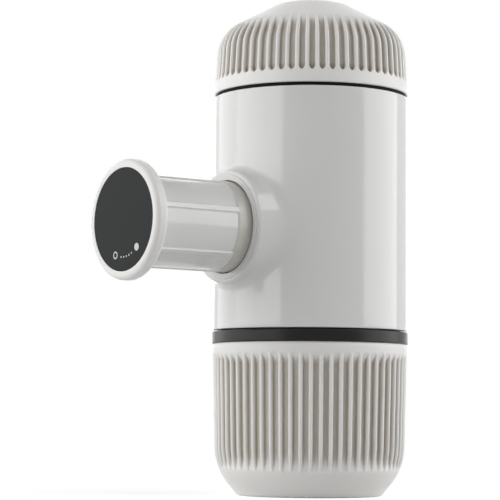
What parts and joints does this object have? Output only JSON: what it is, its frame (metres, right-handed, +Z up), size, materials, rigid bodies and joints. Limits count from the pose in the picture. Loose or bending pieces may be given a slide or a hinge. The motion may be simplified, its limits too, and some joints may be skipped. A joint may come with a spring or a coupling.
{
  "type": "handheld manual espresso maker",
  "caption": "Hand-pumped espresso maker: gloss cylinder with a sprung side piston, ribbed domed water tank on top and a ribbed cup screwed on below as its stand.",
  "frame": {"origin": "centre of the flat foot of the cup that the maker stands on", "axes": "+Z up along the long axis, the hand pump points out along -Y"},
  "size_m": [0.062, 0.103, 0.156],
  "materials": {
    "gloss_white_abs": "polished moulding",
    "satin_white_abs": "fine spark-eroded moulding",
    "black_nylon": "satin moulding",
    "charcoal_film": "fine-grained printed film",
    "black_silicone": "moulded",
    "clear_silicone": "moulded",
    "natural_acetal": "moulded",
    "glass_nylon": "moulded",
    "stainless_steel": "drawn and brushed",
    "spring_steel": "drawn wire"
  },
  "bodies": {
    "housing": {"main_housing": "gloss_white_abs", "boss_bezel": "satin_white_abs", "guide_bush": "natural_acetal", "lock_sleeve": "glass_nylon", "return_spring": "spring_steel", "pump_cylinder": "stainless_steel", "cylinder_seal": "black_silicone", "valve_block": "glass_nylon", "inlet_seat": "natural_acetal", "inlet_spring": "spring_steel", "outlet_spring": "spring_steel", "outlet_plug": "natural_acetal", "group_block": "glass_nylon", "group_seal": "black_silicone", "shower_screen": "stainless_steel", "screen_screw": "stainless_steel", "frame_screws": "stainless_steel", "tank_socket": "glass_nylon", "intake_strainer": "stainless_steel", "air_valve": "clear_silicone", "tank_seal": "black_silicone"},
    "plunger": {"plunger": "glass_nylon", "plunger_rings": "black_silicone", "thrust_washer": "natural_acetal", "knob_screw": "stainless_steel"},
    "knob": {"piston_barrel": "gloss_white_abs", "piston_knob": "satin_white_abs", "knob_disc": "charcoal_film"},
    "tank": {"water_tank": "satin_white_abs"},
    "head": {"outlet_head": "black_nylon", "head_seal": "black_silicone", "spout_nozzle": "black_nylon", "pressure_spring": "spring_steel"},
    "basket": {"filter_basket": "stainless_steel", "basket_screen": "stainless_steel"},
    "cup": {"portable_cup": "satin_white_abs"},
    "inlet_valve": {"inlet_poppet": "clear_silicone"},
    "outlet_valve": {"outlet_poppet": "clear_silicone"},
    "pressure_valve": {"pressure_valve": "clear_silicone"}
  },
  "joints": [
    {"name": "pump_stroke", "type": "slide", "parent": "housing", "child": "plunger", "axis": [0, 1, 0], "range_m": [0, 0.032], "stiffness_N_per_m": 60, "springref_m": -0.03, "deforming": ["return_spring"]},
    {"name": "knob_lock", "type": "hinge", "parent": "plunger", "child": "knob", "pos_m": [0, -0.06, 0.083], "axis": [0, -1, 0], "range_deg": [0, 60]},
    {"name": "tank_lift", "type": "slide", "parent": "housing", "child": "tank", "axis": [0, 0, 1], "range_m": [0, 0.04]},
    {"name": "head_drop", "type": "slide", "parent": "housing", "child": "head", "axis": [0, 0, -1], "range_m": [0, 0.05]},
    {"name": "basket_lift", "type": "slide", "parent": "head", "child": "basket", "axis": [0, 0, 1], "range_m": [0, 0.0225]},
    {"name": "cup_drop", "type": "slide", "parent": "head", "child": "cup", "axis": [0, 0, -1], "range_m": [0, 0.05]},
    {"name": "inlet_valve_lift", "type": "slide", "parent": "housing", "child": "inlet_valve", "axis": [0, 0, -1], "range_m": [0, 0.0015], "stiffness_N_per_m": 40, "springref_m": -0.002, "deforming": ["inlet_spring"]},
    {"name": "outlet_valve_lift", "type": "slide", "parent": "housing", "child": "outlet_valve", "axis": [0, 0, -1], "range_m": [0, 0.0015], "stiffness_N_per_m": 40, "springref_m": -0.002, "deforming": ["outlet_spring"]},
    {"name": "pressure_valve_lift", "type": "slide", "parent": "head", "child": "pressure_valve", "axis": [0, 0, -1], "range_m": [0, 0.002], "stiffness_N_per_m": 1500, "springref_m": -0.003, "deforming": ["pressure_spring"]}
  ],
  "couplings": [
    {"joint": "basket_lift", "follows": "head_drop", "ratio": 0.45}
  ]
}
